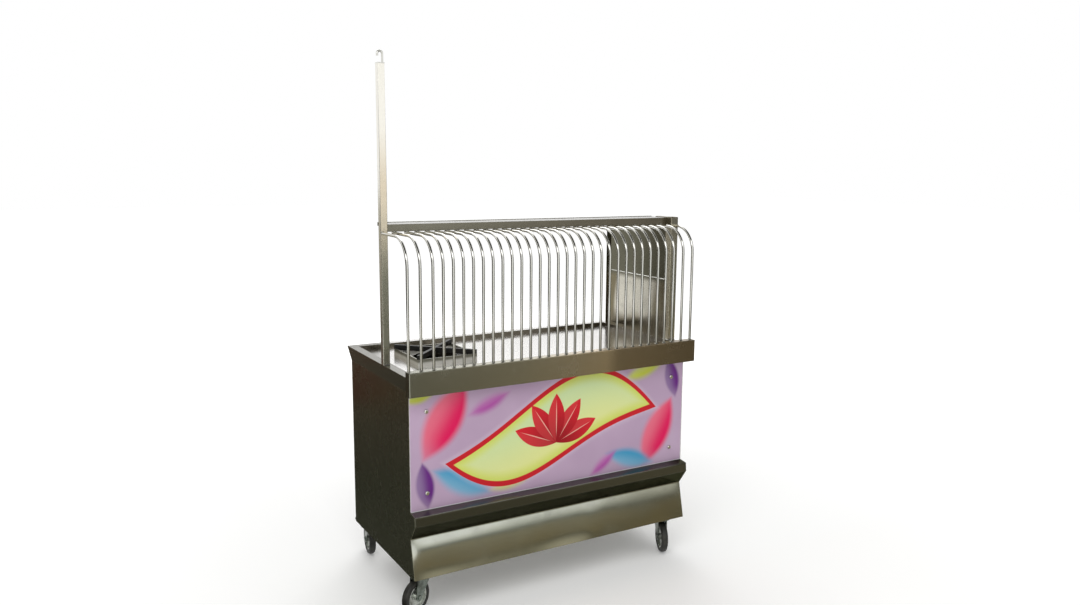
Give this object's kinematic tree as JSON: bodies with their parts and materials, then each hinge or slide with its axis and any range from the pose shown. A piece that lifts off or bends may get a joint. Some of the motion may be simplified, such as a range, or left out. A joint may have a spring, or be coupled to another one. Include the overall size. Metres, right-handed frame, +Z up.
{
  "type": "tea counter",
  "caption": "Sheet-steel tea serving counter on swivel casters, with a bent-rod front guard, a printed front panel, a tall mast and a gas burner in the worktop",
  "frame": {"origin": "on the floor, under the middle of the whole object as it stands, its rear-left wheel included", "axes": "+Z up; -Y is the customers' side with the printed panel; +X runs to the right seen from there, away from the mast"},
  "size_m": [1.2534, 0.7124, 1.976],
  "materials": {
    "steel_sheet": "mill polish",
    "steel_bright": "bright polish",
    "steel_tube": "satin",
    "polished_rod": "mirror polish",
    "cap_screw": "mirror polish",
    "panel_print": "gloss print",
    "cast_iron": "rough black",
    "brass": "turned",
    "knob_plastic": "satin",
    "zinc_plate": "zinc plated",
    "wheel_hub": "satin",
    "tyre": "matte"
  },
  "bodies": {
    "counter": {"bottom_deck": "steel_sheet", "bottom_rail_front": "steel_tube", "bottom_rail_left": "steel_tube", "bottom_rail_rear": "steel_tube", "bottom_rail_right": "steel_tube", "burner_body": "cast_iron", "burner_head": "cast_iron", "caster_pads": "zinc_plate", "caster_plates": "zinc_plate", "caster_studs": "zinc_plate", "control_strip": "steel_sheet", "drip_pan": "steel_bright", "front_apron": "steel_bright", "front_backing_sheet": "steel_sheet", "front_ledge": "steel_bright", "front_print_panel": "panel_print", "front_skirt": "steel_bright", "gas_inlet": "brass", "gas_valve": "brass", "guard_rail": "steel_tube", "guard_rods": "polished_rod", "guard_tray": "steel_bright", "king_pins": "zinc_plate", "left_side_panel": "steel_sheet", "leg_front_left": "steel_tube", "leg_front_right": "steel_tube", "leg_rear_left": "steel_tube", "leg_rear_right": "steel_tube", "mast": "steel_tube", "mast_hook": "polished_rod", "panel_screws": "cap_screw", "right_guard_panel": "steel_bright", "right_post": "steel_tube", "right_side_panel": "steel_sheet", "support_frame": "steel_tube", "top_rail_front": "steel_tube", "top_rail_left": "steel_tube", "top_rail_rear": "steel_tube", "top_rail_right": "steel_tube", "tray_end_bar": "steel_tube", "worktop": "steel_bright"},
    "pan_support": {"pan_support": "cast_iron"},
    "gas_knob": {"gas_knob": "knob_plastic", "valve_stem": "brass"},
    "caster_front_left": {"caster_fork_front_left": "zinc_plate", "caster_axle_front_left": "zinc_plate"},
    "wheel_front_left": {"wheel_hub_front_left": "wheel_hub", "tyre_front_left": "tyre"},
    "caster_front_right": {"caster_fork_front_right": "zinc_plate", "caster_axle_front_right": "zinc_plate"},
    "wheel_front_right": {"wheel_hub_front_right": "wheel_hub", "tyre_front_right": "tyre"},
    "caster_rear_left": {"caster_fork_rear_left": "zinc_plate", "caster_axle_rear_left": "zinc_plate"},
    "wheel_rear_left": {"wheel_hub_rear_left": "wheel_hub", "tyre_rear_left": "tyre"},
    "caster_rear_right": {"caster_fork_rear_right": "zinc_plate", "caster_axle_rear_right": "zinc_plate"},
    "wheel_rear_right": {"wheel_hub_rear_right": "wheel_hub", "tyre_rear_right": "tyre"}
  },
  "joints": [
    {"name": "support_lift", "type": "slide", "parent": "counter", "child": "pan_support", "axis": [0, 0, 1], "range_m": [0, 0.3]},
    {"name": "knob_turn", "type": "hinge", "parent": "counter", "child": "gas_knob", "pos_m": [-0.363, 0.29426, 0.8], "axis": [0, 1, 0], "range_deg": [0, 90]},
    {"name": "swivel_front_left", "type": "hinge", "parent": "counter", "child": "caster_front_left", "pos_m": [-0.54, -0.25824, 0.1335], "axis": [0, 0, 1], "continuous": true},
    {"name": "roll_front_left", "type": "hinge", "parent": "caster_front_left", "child": "wheel_front_left", "pos_m": [-0.56719, -0.27092, 0.0625], "axis": [-0.4226, 0.9063, 0], "continuous": true},
    {"name": "swivel_front_right", "type": "hinge", "parent": "counter", "child": "caster_front_right", "pos_m": [0.54, -0.25824, 0.1335], "axis": [0, 0, 1], "continuous": true},
    {"name": "roll_front_right", "type": "hinge", "parent": "caster_front_right", "child": "wheel_front_right", "pos_m": [0.52813, -0.28579, 0.0625], "axis": [-0.9184, 0.3955, 0], "continuous": true},
    {"name": "swivel_rear_left", "type": "hinge", "parent": "counter", "child": "caster_rear_left", "pos_m": [-0.54, 0.26376, 0.1335], "axis": [0, 0, 1], "continuous": true},
    {"name": "roll_rear_left", "type": "hinge", "parent": "caster_rear_left", "child": "wheel_rear_left", "pos_m": [-0.53634, 0.29354, 0.0625], "axis": [0.9925, -0.1219, 0], "continuous": true},
    {"name": "swivel_rear_right", "type": "hinge", "parent": "counter", "child": "caster_rear_right", "pos_m": [0.54, 0.26376, 0.1335], "axis": [0, 0, 1], "continuous": true},
    {"name": "roll_rear_right", "type": "hinge", "parent": "caster_rear_right", "child": "wheel_rear_right", "pos_m": [0.56719, 0.25108, 0.0625], "axis": [-0.4226, -0.9063, 0], "continuous": true}
  ]
}
